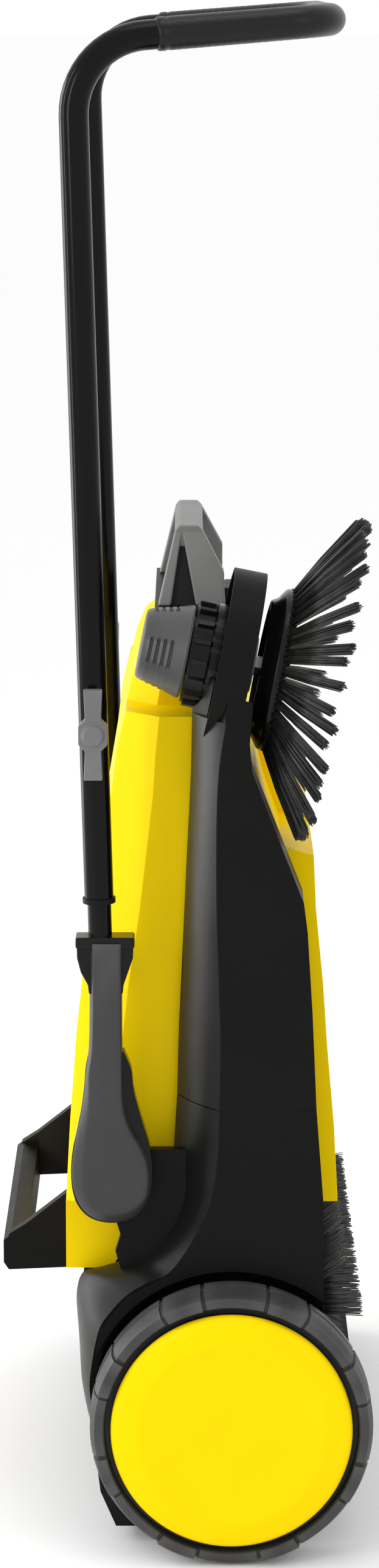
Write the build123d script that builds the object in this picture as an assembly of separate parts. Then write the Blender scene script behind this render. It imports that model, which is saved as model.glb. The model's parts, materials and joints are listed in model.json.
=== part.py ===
from build123d import *
import math
import os

# Walk-behind push sweeper, standing upright on its rear as it is stored.
# +Z is the front of the machine, +X its underside (the floor side when it works) and -Y its right side.
# Every length is in millimetres. The origin lies under the middle of the machine, on the floor.

os.makedirs("parts", exist_ok=True)

# ---- driving dimensions -------------------------------------------------------------------------
HALF_WIDTH = 300            # outer face of each wheel cap
GAP = 0.05                  # radial clearance of a running fit
WALL = 4                    # plastic wall of the frame mouldings

WHEEL_X, WHEEL_Z, WHEEL_R = 35, 108, 108
AXLE_R = 8
MODULE = 2
GEAR_TEETH = 57             # on each wheel
PINION_TEETH = 20           # on each end of the roller shaft
MESH_ANGLE = 67             # direction from wheel axis to roller axis, from +X towards +Z
ROLLER_R = 75.5
ROLLER_HALF = 220           # half length of the bristles
SHAFT_R = 8

PANEL_Y = 250               # outer face of a side frame
BEVEL_Y = 198               # inner edge of a side frame
PLATE_Y = (235, 238)        # steel bearing plate
GEAR_Y = (240, 249)
SEAM_Z = 348                # joint between side frame and front arm

BRUSH_CENTRE = (67, -182, 676)
BRUSH_TILT = 11.35          # the brush axis leans this far back from +X
BRUSH_HUB_R = 62

PIVOT_X, PIVOT_Z = -55.7, 308
TUBE_Y = 232                # handle tubes, each side
TUBE_LEAN = 1.6             # the folded handle leans this many degrees towards -X
UPPER_R, LOWER_R = 11, 9
TUBE_WALL = 1.5
GRIP_R = 12.5

CONTAINER_HALF = 186
NOSE_HALF = 134
SKIN = 3                    # container wall


# ---- helpers ------------------------------------------------------------------------------------
def outline_face(points, y):
    """Face on an XZ outline, at the given Y, facing -Y."""
    plane = Plane(origin=(0, y, 0), x_dir=(1, 0, 0), z_dir=(0, -1, 0))
    return plane * make_face(Polyline(*points, close=True))


def slab(points, y_a, y_b):
    """Plate with an XZ outline between two Y planes."""
    low, high = min(y_a, y_b), max(y_a, y_b)
    return extrude(outline_face(points, high), amount=high - low)


def box(x, y, z):
    """Block from three (low, high) pairs."""
    size = [abs(pair[1] - pair[0]) for pair in (x, y, z)]
    centre = [(pair[0] + pair[1]) / 2 for pair in (x, y, z)]
    return Pos(*centre) * Box(*size)


def turned(profile):
    """Solid of revolution about Z from (radius, height) points."""
    face = Plane.XZ * make_face(Polyline(*profile, close=True))
    return revolve(face, axis=Axis.Z)


def ring(inner, outer, low, high):
    """Ring about Z."""
    return turned([(inner, low), (outer, low), (outer, high), (inner, high)])


def across(solid, x, z, side=1):
    """Lay a solid made about Z along the machine's width, pointing to the given side."""
    return Plane(origin=(x, 0, z), x_dir=(1, 0, 0), z_dir=(0, side, 0)).location * solid


def on_brush_axis(solid):
    """Lay a solid made about Z on the side brush axis; +Z points away from the machine."""
    tilt = math.radians(BRUSH_TILT)
    direction = (math.cos(tilt), 0, -math.sin(tilt))
    return Plane(origin=BRUSH_CENTRE, x_dir=(0, 1, 0), z_dir=direction).location * solid


def along_tube(solid, side):
    """Lay a solid made about Z on a handle tube; +Z runs up the tube from the socket mouth."""
    return tube_plane(side).location * solid


def tube_plane(side):
    lean = math.radians(TUBE_LEAN)
    return Plane(origin=(SOCKET_X, side * TUBE_Y, SOCKET_Z), x_dir=(0, 1, 0),
                 z_dir=(-math.sin(lean), 0, math.cos(lean)))


def inset(points, distance):
    """Move every side of a convex or gently concave outline inwards, keeping its corners."""
    area = sum(a[0] * b[1] - b[0] * a[1] for a, b in zip(points, points[1:] + points[:1]))
    turn = 1 if area > 0 else -1
    moved = []
    for before, corner, after in zip(points[-1:] + points[:-1], points, points[1:] + points[:1]):
        first = Vector(corner[0] - before[0], corner[1] - before[1]).normalized()
        second = Vector(after[0] - corner[0], after[1] - corner[1]).normalized()
        normal_a = Vector(-first.Y, first.X) * turn
        normal_b = Vector(-second.Y, second.X) * turn
        shift = (normal_a + normal_b) * (distance / (1 + normal_a.dot(normal_b)))
        moved.append((corner[0] + shift.X, corner[1] + shift.Y))
    return moved


def lofted(outer_points, inner_points, side, y_outer, y_inner):
    """Straight-sided block between an outline at y_outer and one at y_inner."""
    faces = [outline_face(outer_points, side * y_outer), outline_face(inner_points, side * y_inner)]
    return loft(faces, ruled=True)


def involute(angle):
    return math.tan(angle) - angle


def gear(teeth, centre, phase, y_a, y_b, bore):
    """Spur gear across the machine; a tooth is centred on the phase angle (degrees from +X to +Z)."""
    pressure = math.radians(20)
    pitch = MODULE * teeth / 2
    base = pitch * math.cos(pressure)
    tip = pitch + 0.95 * MODULE
    root = pitch - 1.25 * MODULE
    backlash = 0.3
    half_pitch_tooth = math.pi / (2 * teeth) - backlash / (4 * pitch)
    radii = [base if base > root else root, (base + pitch) / 2, pitch, (pitch + tip) / 2, tip]
    radii = [max(radius, base) for radius in radii]
    half = [half_pitch_tooth + involute(pressure) - involute(math.acos(base / radius)) for radius in radii]
    points = []
    for tooth in range(teeth):
        middle = math.radians(phase) + tooth * 2 * math.pi / teeth
        flank = [(root - 0.2, half[0] + 0.002)] + list(zip(radii, half))
        for radius, angle in flank:
            points.append((radius, middle - angle))
        for radius, angle in reversed(flank):
            points.append((radius, middle + angle))
    outline = [(centre[0] + r * math.cos(a), centre[1] + r * math.sin(a)) for r, a in points]
    hole = across(Cylinder(bore, 600), *centre)
    return slab(outline, y_a, y_b) - hole


def save(name, *solids):
    """Write one node; several solids stay separate."""
    pieces = []
    for shape in solids:
        pieces.extend(shape.solids())
    node = pieces[0] if len(pieces) == 1 else Compound(children=pieces)
    node.label = name
    export_step(node, f"parts/{name}.step")


mesh = math.radians(MESH_ANGLE)
CENTRE_DISTANCE = MODULE * (GEAR_TEETH + PINION_TEETH) / 2
ROLLER_X = WHEEL_X + CENTRE_DISTANCE * math.cos(mesh)
ROLLER_Z = WHEEL_Z + CENTRE_DISTANCE * math.sin(mesh)
WHEEL = (WHEEL_X, WHEEL_Z)
ROLLER = (ROLLER_X, ROLLER_Z)
SOCKET_X, SOCKET_Z = -64.5, 481
SIDES = {"right": -1, "left": 1}

# ---- side frames: lower half, with the wheel arch and the handle bracket --------------------------
# each pair is (outer face corner, inner edge corner)
LOWER_EDGE = [
    ((25.2, SEAM_Z), (-6.5, SEAM_Z)), ((24, 306), (-9, 306)), ((18, 274), (-5, 263)),
    ((3, 241), (-17, 239)), ((-13, 218), (-43, 217)), ((-45, 201), (-87, 211)),
    ((-66, 174), (-85, 172)), ((-75, 122), (-79, 122)),
]
LOWER_BACK = [(106, 122), (106, 196), (105, 276), (99.4, SEAM_Z)]
ARCH_R = 113
ROLLER_ZONE_Z = 262
BELT_WINDOW = ((24, 84), (236, 202), (SEAM_Z - 8, SEAM_Z + 8))
BRACKET_Y = (210, 219.6)
BRACKET = [
    (8, 309), (-32, 309), (-40, 322), (-68, 324), (-81, 310), (-80, 288), (-66, 268), (-54, 254),
    (-50, 241), (-54, 228), (-50, 214), (-36, 212), (-8, 236), (6, 262),
]
PIN_R = 7


def side_frame(side):
    outer = [pair[0] for pair in LOWER_EDGE] + LOWER_BACK
    inner = [pair[1] for pair in LOWER_EDGE] + LOWER_BACK
    body = lofted(outer, inner, side, PANEL_Y, BEVEL_Y)
    hollow = lofted(inset(outer, WALL), inset(inner, WALL), side, PANEL_Y - WALL, BEVEL_Y - 1)
    roller_zone = box((-100, 120), (side * PLATE_Y[1], side * 180), (100, ROLLER_ZONE_Z))
    arch = across(Cylinder(ARCH_R, 600), *WHEEL)
    x, y, z = BELT_WINDOW
    window = box(x, (side * y[0], side * y[1]), z)
    bracket = slab(BRACKET, side * BRACKET_Y[0], side * BRACKET_Y[1])
    bracket -= across(Cylinder(PIN_R, 600), PIVOT_X, PIVOT_Z)
    frame = body - hollow - roller_zone - arch - window
    return frame + (bracket - hollow)


for name, side in SIDES.items():
    save(f"{name}_side_frame", side_frame(side))

# ---- front arms: upper half, up to the side brush ----------------------------------------------
ARM_EDGE = [
    ((36, 700), (5, 700)), ((30, 650), (5, 648)), ((24, 599), (4, 599)), ((23, 516), (0, 516)),
    ((26, 402), (-5, 405)), ((25.2, SEAM_Z), (-6.5, SEAM_Z)),
]
ARM_BACK = [(99.4, SEAM_Z), (96, 423), (92, 486), (89, 509), (73, 549), (50, 608), (48, 630), (54, 700)]
# the carrier cup of the side brush: its wall, and the plate across it
CARRIER = dict(radius=70, wall=-44, back=-36, plate=-32, front=-19)
COLLAR = dict(outer=41, inner=30, low=-66, high=CARRIER["back"])
LEFT_TOP = 684              # the left arm ends here; the right one carries the brush carrier


def front_arm(side):
    outer = [pair[0] for pair in ARM_EDGE] + ARM_BACK
    inner = [pair[1] for pair in ARM_EDGE] + ARM_BACK
    body = lofted(outer, inner, side, PANEL_Y, BEVEL_Y)
    hollow = lofted(inset(outer, WALL), inset(inner, WALL), side, PANEL_Y - WALL, BEVEL_Y - 1)
    x, y, z = BELT_WINDOW
    if side > 0:
        hollow -= box((-30, 120), (180, 260), (LEFT_TOP - WALL, 720))
    arm = body - hollow - box(x, (side * y[0], side * y[1]), z)
    if side < 0:
        arm -= on_brush_axis(ring(0, CARRIER["radius"] + 0.1, CARRIER["wall"] - 0.1, 60))
        arm -= on_brush_axis(ring(0, COLLAR["outer"] + 0.1, -110, CARRIER["wall"]))
        return arm - box((-20, 120), (-190, -260), (BRUSH_CENTRE[2], 720))
    return arm - box((-20, 120), (190, 260), (LEFT_TOP, 720))


for name, side in SIDES.items():
    save(f"{name}_front_arm", front_arm(side))

COVER_Y = (195, BEVEL_Y)
COVER_BOTTOM = 264
for name, side in SIDES.items():
    cover_top = 596 if side < 0 else LEFT_TOP
    cover_outline = [
        (97, COVER_BOTTOM), (96, SEAM_Z), (94, 423), (87, 505), (70, 549), (48, 598), (46, cover_top),
        (8, cover_top), (7, 598), (3, 516), (-2, 410), (-4, SEAM_Z), (-6, 306), (-2, COVER_BOTTOM),
    ]
    save(f"{name}_arm_cover", slab(cover_outline, side * COVER_Y[0], side * COVER_Y[1]))

# ---- bearing plates, rear housing, feet and dust lips --------------------------------------------
PLATE = [
    (-70, 122), (-72, 90), (-66, 40), (-54, 12), (92, 12), (106, 40), (107, 120),
    (105, 258), (8, 258), (-1, 236), (-15, 213), (-46, 196), (-62, 172),
]
BEARING_R = 14
for name, side in SIDES.items():
    plate = slab(PLATE, side * PLATE_Y[0], side * PLATE_Y[1])
    plate -= across(Cylinder(AXLE_R, 600), *WHEEL)
    plate -= across(Cylinder(BEARING_R, 600), *ROLLER)
    save(f"{name}_bearing_plate", plate)

HOUSING = [(-80, 198), (-78, 140), (-72, 90), (-66, 40), (-54, 12), (92, 12), (106, 40), (107, 92)]
housing_inside = [(103, 92), (102, 41), (90, 16), (-52, 16), (-62, 42), (-68, 91), (-74, 140), (-76, 198)]
rear_housing = slab(HOUSING + housing_inside, -PLATE_Y[0], PLATE_Y[0])
for rib_y in (-120, 0, 120):
    rib = [(-74.2, 140), (-68, 91), (-62, 42), (-52, 16), (90, 16), (98, 32), (60, 60), (0, 76), (-44, 130)]
    rear_housing += slab(rib, rib_y - 2, rib_y + 2)
# above the arches it ends inside the bevelled edges of the side frames
for side in SIDES.values():
    rear_housing -= box((-100, -50), (side * BEVEL_Y, side * 240), (122, 210))
save("rear_housing", rear_housing)

FOOT_R, FOOT_HEIGHT = 14, 12
feet = [Pos(x, y, FOOT_HEIGHT / 2) * Cylinder(FOOT_R, FOOT_HEIGHT) for x in (-38, 76) for y in (-190, 190)]
feet = [chamfer(foot.edges().filter_by(GeomType.CIRCLE).group_by(Axis.Z)[0], 1.5) for foot in feet]
save("parking_feet", *feet)

LIP_THICK = 3
rear_lip = box((107, 107 + LIP_THICK), (-230, 230), (66, 92)) + box((110, 134), (-230, 230), (89, 92))
save("dust_lip", rear_lip)

# ---- front crossbar and carry handle -------------------------------------------------------------
crossbar = box((9, 31), (-COVER_Y[0], COVER_Y[0]), (645, LEFT_TOP))
crossbar -= box((13, 27), (-COVER_Y[0] + 30, COVER_Y[0] - 8), (649, LEFT_TOP - 4))
shelf = slab([(-24, 707), (26, 707), (26, LEFT_TOP), (31, LEFT_TOP), (31, 712), (-24, 712)], -118, 118)
crossbar += shelf
crossbar -= on_brush_axis(Pos(0, 0, -35) * Cylinder(CARRIER["radius"] + 0.1, 80))
save("front_crossbar", crossbar)

HANDLE_FOOT_Y, HANDLE_TOP_Y = 99, 80
# each leg: foot X, top X, thickness along X
HANDLE_LEGS = [(-19, -4, 9), (20, 1, 20)]


def leg_bar(start, end, depth, width):
    """Straight bar of rectangular section between two points."""
    start, end = Vector(*start), Vector(*end)
    run = end - start
    plane = Plane(origin=start, x_dir=(0, 1, 0), z_dir=run.normalized())
    return extrude(plane * Rectangle(width, depth), amount=run.length)


carry_handle = slab([(-9, 754), (-8, 770), (-5, 773), (8, 773), (11, 767), (9, 754)],
                    -HANDLE_TOP_Y - 6, HANDLE_TOP_Y + 6)
for side in (-1, 1):
    for foot_x, top_x, depth in HANDLE_LEGS:
        foot = (foot_x, side * HANDLE_FOOT_Y, 700)
        top = (top_x, side * (HANDLE_TOP_Y - 3), 765)
        carry_handle += leg_bar(foot, top, depth, 14)
    carry_handle += slab([(-20, 711), (20, 711), (4, 758), (-5, 758)], side * 82, side * 86)
carry_handle -= box((-60, 80), (-200, 200), (600, 712))
save("carry_handle", carry_handle)

# ---- wheels --------------------------------------------------------------------------------------
TYRE = [
    (88, 254), (90, 252), (102, 252), (106, 256), (WHEEL_R, 262), (WHEEL_R, 284), (107, 290),
    (101, 296), (96, 296), (92, 293), (92, 287), (88, 287),
]
RIM = [
    (11, 249), (20, 249), (22, 262), (84, 262), (84, 254), (88, 254), (88, 287), (92, 287), (92, 290),
    (84, 290), (84, 268), (22, 268), (20, 290), (11, 290),
]
CAP = [
    (0, 294), (30, 295), (70, 297), (86, 295), (88, 290), (92, 290), (92, 295), (86, 299),
    (70, HALF_WIDTH), (30, 298), (0, 297),
]
for name, side in SIDES.items():
    save(f"{name}_tyre", across(turned(TYRE), *WHEEL, side))
    save(f"{name}_rim", across(turned(RIM), *WHEEL, side))
    save(f"{name}_wheel_cap", across(turned(CAP), *WHEEL, side))
    save(f"{name}_wheel_bush", across(ring(AXLE_R + GAP, 11, GEAR_Y[0], 290), *WHEEL, side))
    wheel_gear = gear(GEAR_TEETH, WHEEL, MESH_ANGLE, side * GEAR_Y[0], side * GEAR_Y[1], 11)
    save(f"{name}_drive_gear", wheel_gear)

AXLE = [(0, 229), (13, 229), (13, 235), (AXLE_R, 235), (AXLE_R, 293), (0, 293)]
save("wheel_axles", *[across(turned(AXLE), *WHEEL, side) for side in SIDES.values()])
save("wheel_washers", *[across(ring(AXLE_R, 16, 238, 239.7), *WHEEL, side) for side in SIDES.values()])
save("axle_clips", *[across(ring(AXLE_R, 13, 290.3, 291.8), *WHEEL, side) for side in SIDES.values()])

# ---- main roller ---------------------------------------------------------------------------------
PULLEY_Y = 229              # middle of the belt groove, on the right side
DRIVE_PULLEY_R = 14         # radius of the belt centre line on the roller
BELT_R = 2
CORE_R = 26
save("roller_shaft", across(Cylinder(SHAFT_R, 504), *ROLLER))
save("roller_core", across(ring(SHAFT_R, CORE_R, -222, 222), *ROLLER))
BRISTLE_ROWS = 10
row = Pos((CORE_R + ROLLER_R) / 2 - 0.3, 0, 0) * Box(ROLLER_R - CORE_R, 7, 2 * ROLLER_HALF)
row -= Cylinder(CORE_R, 600)
bristle_rows = [Rot(0, 0, step * 360 / BRISTLE_ROWS) * row for step in range(BRISTLE_ROWS)]
save("roller_bristles", *[across(strip, *ROLLER) for strip in bristle_rows])
pinion_phase = MESH_ANGLE + 180 + 180 / PINION_TEETH
pinions = [gear(PINION_TEETH, ROLLER, pinion_phase, side * GEAR_Y[0], side * GEAR_Y[1], SHAFT_R)
           for side in SIDES.values()]
save("roller_pinions", *pinions)
groove_r = DRIVE_PULLEY_R - BELT_R - 0.5
DRIVE_PULLEY = [
    (SHAFT_R, 225), (17, 225), (17, 226), (groove_r, 227), (groove_r, 231), (17, 232), (17, 233),
    (SHAFT_R, 233),
]
save("roller_pulley", across(turned(DRIVE_PULLEY), *ROLLER, -1))
save("roller_clips", *[across(ring(SHAFT_R, 11, 249, 250.5), *ROLLER, side) for side in SIDES.values()])
bearing = ring(SHAFT_R + GAP, BEARING_R, 234, 239)
save("roller_bearings", *[across(bearing, *ROLLER, side) for side in SIDES.values()])

# ---- side brush drive: carrier, pulley, collar, carriage and height knob --------------------------
PULLEY_MIDDLE = -23.5       # middle of the belt groove, on the brush axis
BRUSH_PULLEY_R = 18
NECK_R = 12
HEX_FLATS = 14
rim_inside = CARRIER["radius"] - WALL
carrier = turned([
    (NECK_R + GAP, CARRIER["back"]), (rim_inside, CARRIER["back"]), (rim_inside, CARRIER["wall"]),
    (CARRIER["radius"], CARRIER["wall"]), (CARRIER["radius"], CARRIER["front"]),
    (rim_inside, CARRIER["front"]), (rim_inside, CARRIER["plate"]), (NECK_R + GAP, CARRIER["plate"]),
])
# the belt enters through a slot in the wall, towards the rear of the machine
carrier -= Pos(-33, -55, PULLEY_MIDDLE) * Box(50, 50, 15)
save("brush_carrier", on_brush_axis(carrier))

hexagon = RegularPolygon(HEX_FLATS / 2, 6, major_radius=False)
hex_hole = extrude(Pos(0, 0, -60) * RegularPolygon(HEX_FLATS / 2 + 0.25, 6, major_radius=False), 60)
pulley_groove_r = BRUSH_PULLEY_R - BELT_R - 0.5
brush_pulley = turned([
    (0, -37), (NECK_R, -37), (NECK_R, -31.6), (21, -31.6), (21, -30), (pulley_groove_r, -28),
    (pulley_groove_r, -19), (21, -17), (21, -15.5), (0, -15.5),
])
save("brush_pulley", on_brush_axis(brush_pulley - hex_hole))

collar = turned([
    (16.1, COLLAR["low"]), (38, COLLAR["low"]), (38, -52), (COLLAR["outer"], -50),
    (COLLAR["outer"], COLLAR["high"]), (COLLAR["inner"], COLLAR["high"]),
    (COLLAR["inner"], -62), (16.1, -62),
])
for step in range(16):
    collar += Rot(0, 0, step * 22.5) * Pos(38.8, 0, -58) * Box(4, 3.5, 12)
collar -= Pos(0, 0, -47.5) * Box(72, 8.6, 23.1)
save("brush_collar", on_brush_axis(collar))

JOURNAL_R, STEM_R = 6, 9
carriage = ring(JOURNAL_R + GAP, 20, -57.5, -50)
carriage += (Pos(0, 0, -53.75) * Box(70, 8, 7.5)) - Cylinder(15, 200)
carriage += turned([(0, -97), (STEM_R, -97), (STEM_R, -57.5), (JOURNAL_R + GAP, -57.5),
                    (JOURNAL_R + GAP, -64), (0, -64)])
save("brush_carriage", on_brush_axis(carriage))

knob = turned([
    (STEM_R + 0.3, -99), (STEM_R + 0.3, -60.5), (16, -60.5), (16, -67), (35, -67), (36, -69),
    (27, -102), (25, -103), (0, -103), (0, -99),
])
for step in range(4):
    finger_groove = Pos(36, 0, -88) * Rot(0, -15, 0) * Box(8, 4, 18)
    knob -= Rot(0, 0, step * 90 + 45) * finger_groove
save("height_knob", on_brush_axis(knob))
save("knob_clip", on_brush_axis(ring(16, 19, -61.7, -60.5)))

# ---- side brush ----------------------------------------------------------------------------------
brush_hub = turned([
    (0, -3), (45, -3), (45, -12), (51, -12), (54, -7), (BRUSH_HUB_R - 2, -3), (BRUSH_HUB_R, -1),
    (BRUSH_HUB_R, 3), (50, 5), (48, 1.5), (22, 1.5), (20, 5), (0, 5),
])
brush_shaft = extrude(Pos(0, 0, -48) * hexagon, 45) + Pos(0, 0, -55) * Cylinder(JOURNAL_R, 14)
screw = turned([(0, 5), (8, 5), (7, 8.5), (0, 9)]) - Pos(0, 0, 8.5) * Box(11, 1.6, 3)
bristles = turned([(54, 4.2), (BRUSH_HUB_R, 3), (126.5, 38), (119, 53), (116, 45)])
save("side_brush_hub", on_brush_axis(brush_hub))
save("side_brush_shaft", on_brush_axis(brush_shaft))
save("side_brush_screw", on_brush_axis(screw))
save("side_brush_bristles", on_brush_axis(bristles))

# ---- round belt from the roller to the side brush ------------------------------------------------
# it runs up inside the right side frame and turns from the roller's direction to the brush's


def wrap_corners(centre, first, second, radius, start, end, steps):
    """Corners of the tangent polygon round a pulley, from angle start to angle end (radians)."""
    step = (end - start) / steps
    reach = radius / math.cos(step / 2)
    corners = []
    for index in range(steps):
        angle = start + (index + 0.5) * step
        corners.append(centre + first * (reach * math.cos(angle)) + second * (reach * math.sin(angle)))
    return corners


def tangent_angle(point, centre, first, second, radius, turn):
    """Angle on a pulley where a straight run from the point touches it."""
    offset = point - centre
    bearing_angle = math.atan2(offset.dot(second), offset.dot(first))
    reach = math.hypot(offset.dot(second), offset.dot(first))
    return bearing_angle + turn * math.acos(radius / reach)


GUIDE_X, GUIDE_Z = 34, 606
guide_near = Vector(GUIDE_X, -226, GUIDE_Z)
guide_far = Vector(GUIDE_X, -206, GUIDE_Z)
x_axis, y_axis, z_axis = Vector(1, 0, 0), Vector(0, 1, 0), Vector(0, 0, 1)
tilt = math.radians(BRUSH_TILT)
brush_axis = Vector(math.cos(tilt), 0, -math.sin(tilt))
brush_up = Vector(math.sin(tilt), 0, math.cos(tilt))
drive_centre = Vector(ROLLER_X, -PULLEY_Y, ROLLER_Z)
brush_centre = Vector(*BRUSH_CENTRE) + brush_axis * PULLEY_MIDDLE
near_leave = tangent_angle(guide_near, drive_centre, x_axis, z_axis, DRIVE_PULLEY_R, -1)
far_leave = tangent_angle(guide_far, drive_centre, x_axis, z_axis, DRIVE_PULLEY_R, 1)
near_meet = tangent_angle(guide_near, brush_centre, y_axis, brush_up, BRUSH_PULLEY_R, -1)
far_meet = tangent_angle(guide_far, brush_centre, y_axis, brush_up, BRUSH_PULLEY_R, 1)
turn = 2 * math.pi
under = wrap_corners(drive_centre, x_axis, z_axis, DRIVE_PULLEY_R, near_leave, far_leave - turn, 4)
over = wrap_corners(brush_centre, y_axis, brush_up, BRUSH_PULLEY_R, far_meet, near_meet + turn, 4)
corners = [guide_near] + under + [guide_far] + over
radii = [20] + [DRIVE_PULLEY_R * 0.9] * 4 + [20] + [BRUSH_PULLEY_R * 0.9] * 4
route = FilletPolyline(*corners, radius=radii, close=True)
belt = None
for run in route.edges():
    piece = sweep(Plane(origin=run @ 0, z_dir=run % 0) * Circle(BELT_R), path=run)
    belt = piece if belt is None else belt + piece
save("brush_belt", belt)

guide = box((29.4, 43), (-PANEL_Y + WALL, -200), (GUIDE_Z - 3, GUIDE_Z + 3))
for eyelet in (guide_near, guide_far):
    guide -= Pos(*eyelet) * Cylinder(4.2, 20)
save("belt_guide", guide)

# ---- push handle: pivot arms, lower tubes, upper tube with grip -----------------------------------
ARM_Y = (220, 244)
TEAR = [
    (-89.5, 289), (-88.8, 306), (-82, 341), (-75.5, 375), (-72.5, 409), (-73.5, 442), (-80, 450), (-86.6, 463),
    (-86.6, 481), (-43, 481), (-43, 463), (-48, 450), (-50.5, 442), (-51, 409), (-47, 375), (-35.6, 341),
    (-28.1, 306), (-26.9, 289), (-30.7, 272), (-42, 262), (-59.5, 258.4), (-74, 262), (-83.4, 272),
]
TEAR_RECESS = [
    (-82, 298), (-72, 356), (-67, 440), (-55, 440), (-50, 356), (-34, 300), (-38, 276), (-58, 266), (-76, 276),
]
PIN_END, CLIP_Y, CLIP_R = 240, (238, 239.6), 9.4


def pivot_arm(side):
    """Arm with a blind bore, so that its outer face closes over the pin and the snap ring."""
    arm = slab(TEAR, side * ARM_Y[0], side * ARM_Y[1])
    arm -= slab(TEAR_RECESS, side * (ARM_Y[0] - 1), side * (ARM_Y[0] + 8))
    arm += across(ring(0, 15, ARM_Y[0], ARM_Y[0] + 9), PIVOT_X, PIVOT_Z, side)
    arm -= across(ring(0, PIN_R + GAP, ARM_Y[0] - 1, PIN_END + 0.5), PIVOT_X, PIVOT_Z, side)
    arm -= across(ring(0, CLIP_R + 0.2, CLIP_Y[0] - 0.3, PIN_END + 0.5), PIVOT_X, PIVOT_Z, side)
    return arm - along_tube(Pos(0, 0, -10) * Cylinder(LOWER_R, 60), side)


for name, side in SIDES.items():
    save(f"{name}_pivot_arm", pivot_arm(side))

PIN = [(0, 206), (11, 206), (11, 210), (PIN_R, 210), (PIN_R, PIN_END), (0, PIN_END)]
save("handle_pivot_pins", *[across(turned(PIN), PIVOT_X, PIVOT_Z, side) for side in SIDES.values()])
snap_ring = ring(PIN_R, CLIP_R, *CLIP_Y)
save("pivot_clips", *[across(snap_ring, PIVOT_X, PIVOT_Z, side) for side in SIDES.values()])

LOWER_LENGTH = 270          # from the bottom of the socket to the tube's top
UPPER_START = 29            # lower end of the upper tube, above the socket mouth
BEND_Z = 1146
BEND_R = 57
GRIP_RISE = 15              # the grip end stands this much higher than the bend
GRIP_X = 107
GRIP_HALF = 196             # half width at the grip's far corners

lower_tube = ring(LOWER_R - TUBE_WALL, LOWER_R, -40, LOWER_LENGTH - 40)
save("lower_tubes", *[along_tube(lower_tube, side) for side in SIDES.values()])

lean = math.radians(TUBE_LEAN)
tube_start = Vector(SOCKET_X - UPPER_START * math.sin(lean), -TUBE_Y, SOCKET_Z + UPPER_START * math.cos(lean))
bend_x = SOCKET_X - (BEND_Z - SOCKET_Z) * math.tan(lean)
near_points = [
    (tube_start.X, -TUBE_Y, tube_start.Z), (bend_x, -TUBE_Y, BEND_Z), (GRIP_X, -GRIP_HALF, BEND_Z + GRIP_RISE),
]
far_points = [(x, -y, z) for x, y, z in reversed(near_points)]
handle_route = FilletPolyline(*near_points, *far_points, radius=[BEND_R, 40, 40, BEND_R])
handle_plane = Plane(origin=handle_route @ 0, z_dir=handle_route % 0)
outer_bar = sweep(handle_plane * Circle(UPPER_R), path=handle_route)
bore = sweep(handle_plane * Circle(UPPER_R - TUBE_WALL), path=handle_route)
upper_tube = outer_bar - bore
STUD_R = 4
CLAMP_UP = 157              # clamp height above the socket mouth
CLAMP_X = SOCKET_X - CLAMP_UP * math.sin(lean)
CLAMP_Z = SOCKET_Z + CLAMP_UP * math.cos(lean)
for side in SIDES.values():
    stud_hole = ring(0, STUD_R + GAP, TUBE_Y + 5, TUBE_Y + 40)
    upper_tube -= across(stud_hole, CLAMP_X, CLAMP_Z, side)
save("upper_tube", upper_tube)

straight = Vector(*near_points[2]) - Vector(*near_points[1])
along = straight.normalized()
grip_from = Vector(*near_points[1]) + along * (BEND_R + 6)
grip_near = [(grip_from.X, grip_from.Y, grip_from.Z), near_points[2]]
grip_far = [(x, -y, z) for x, y, z in reversed(grip_near)]
grip_route = FilletPolyline(*grip_near, *grip_far, radius=[40, 40])
grip_plane = Plane(origin=grip_route @ 0, z_dir=grip_route % 0)
grip = sweep(grip_plane * Circle(GRIP_R), path=grip_route)
grip -= sweep(grip_plane * Circle(UPPER_R), path=grip_route)
save("handle_grip", grip)

bush = turned([
    (LOWER_R + GAP, UPPER_START - 4), (UPPER_R + 1.5, UPPER_START - 4), (UPPER_R + 1.5, UPPER_START),
    (UPPER_R - TUBE_WALL, UPPER_START), (UPPER_R - TUBE_WALL, UPPER_START + 26),
    (LOWER_R + GAP, UPPER_START + 26),
])
save("tube_bushes", *[along_tube(bush, side) for side in SIDES.values()])

seats, knobs = [], {}
for name, side in SIDES.items():
    seat = across(ring(STUD_R + GAP, 8, TUBE_Y + 7, TUBE_Y + 15), CLAMP_X, CLAMP_Z, side)
    seat -= along_tube(Pos(0, 0, 150) * Cylinder(UPPER_R, 120), side)
    seats.append(seat)
    wing = [(-7, -34), (7, -34), (6, -12), (11, -7), (11, 7), (6, 12), (7, 34), (-7, 34), (-6, 12),
            (-11, 7), (-11, -7), (-6, -12)]
    outline = [(CLAMP_X + x, CLAMP_Z + z) for x, z in wing]
    knob = slab(outline, side * (TUBE_Y + 15.4), side * (TUBE_Y + 25))
    knob += across(ring(0, STUD_R, TUBE_Y + LOWER_R + 0.3, TUBE_Y + 15.4), CLAMP_X, CLAMP_Z, side)
    knob += across(turned([(0, TUBE_Y + 25), (9, TUBE_Y + 25), (7, TUBE_Y + 28), (0, TUBE_Y + 28)]),
                   CLAMP_X, CLAMP_Z, side)
    knobs[name] = knob
save("clamp_seats", *seats)
for name, knob in knobs.items():
    save(f"{name}_clamp_knob", knob)

# ---- dirt container with its handle -------------------------------------------------------------
# (height, edge on the top side of the machine, edge on its underside, corner bevel)
CONTAINER_SECTIONS = [
    (258, -93, 118, 6), (318, -90, 115, 26), (386, -85, 109, 36), (430, -80, 106, 36),
    (491, -71, 100, 36), (536, -64, 98, 34), (578, -57, 70, 32), (610, -53, 54, 30), (640, -46, 40, 26),
]
NOSE_SECTIONS = [(640, -46, 4, 24), (664, -40, 4, 22), (680, -33, 4, 18), (686, -25, 2, 12)]


BRUSH_ROOM = [
    (8, 613), (47, 604), (54, 601), (62, 569), (73, 539), (101, 532), (130, 532), (130, 720), (8, 720),
]
BRUSH_ROOM_Y = -45


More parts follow.
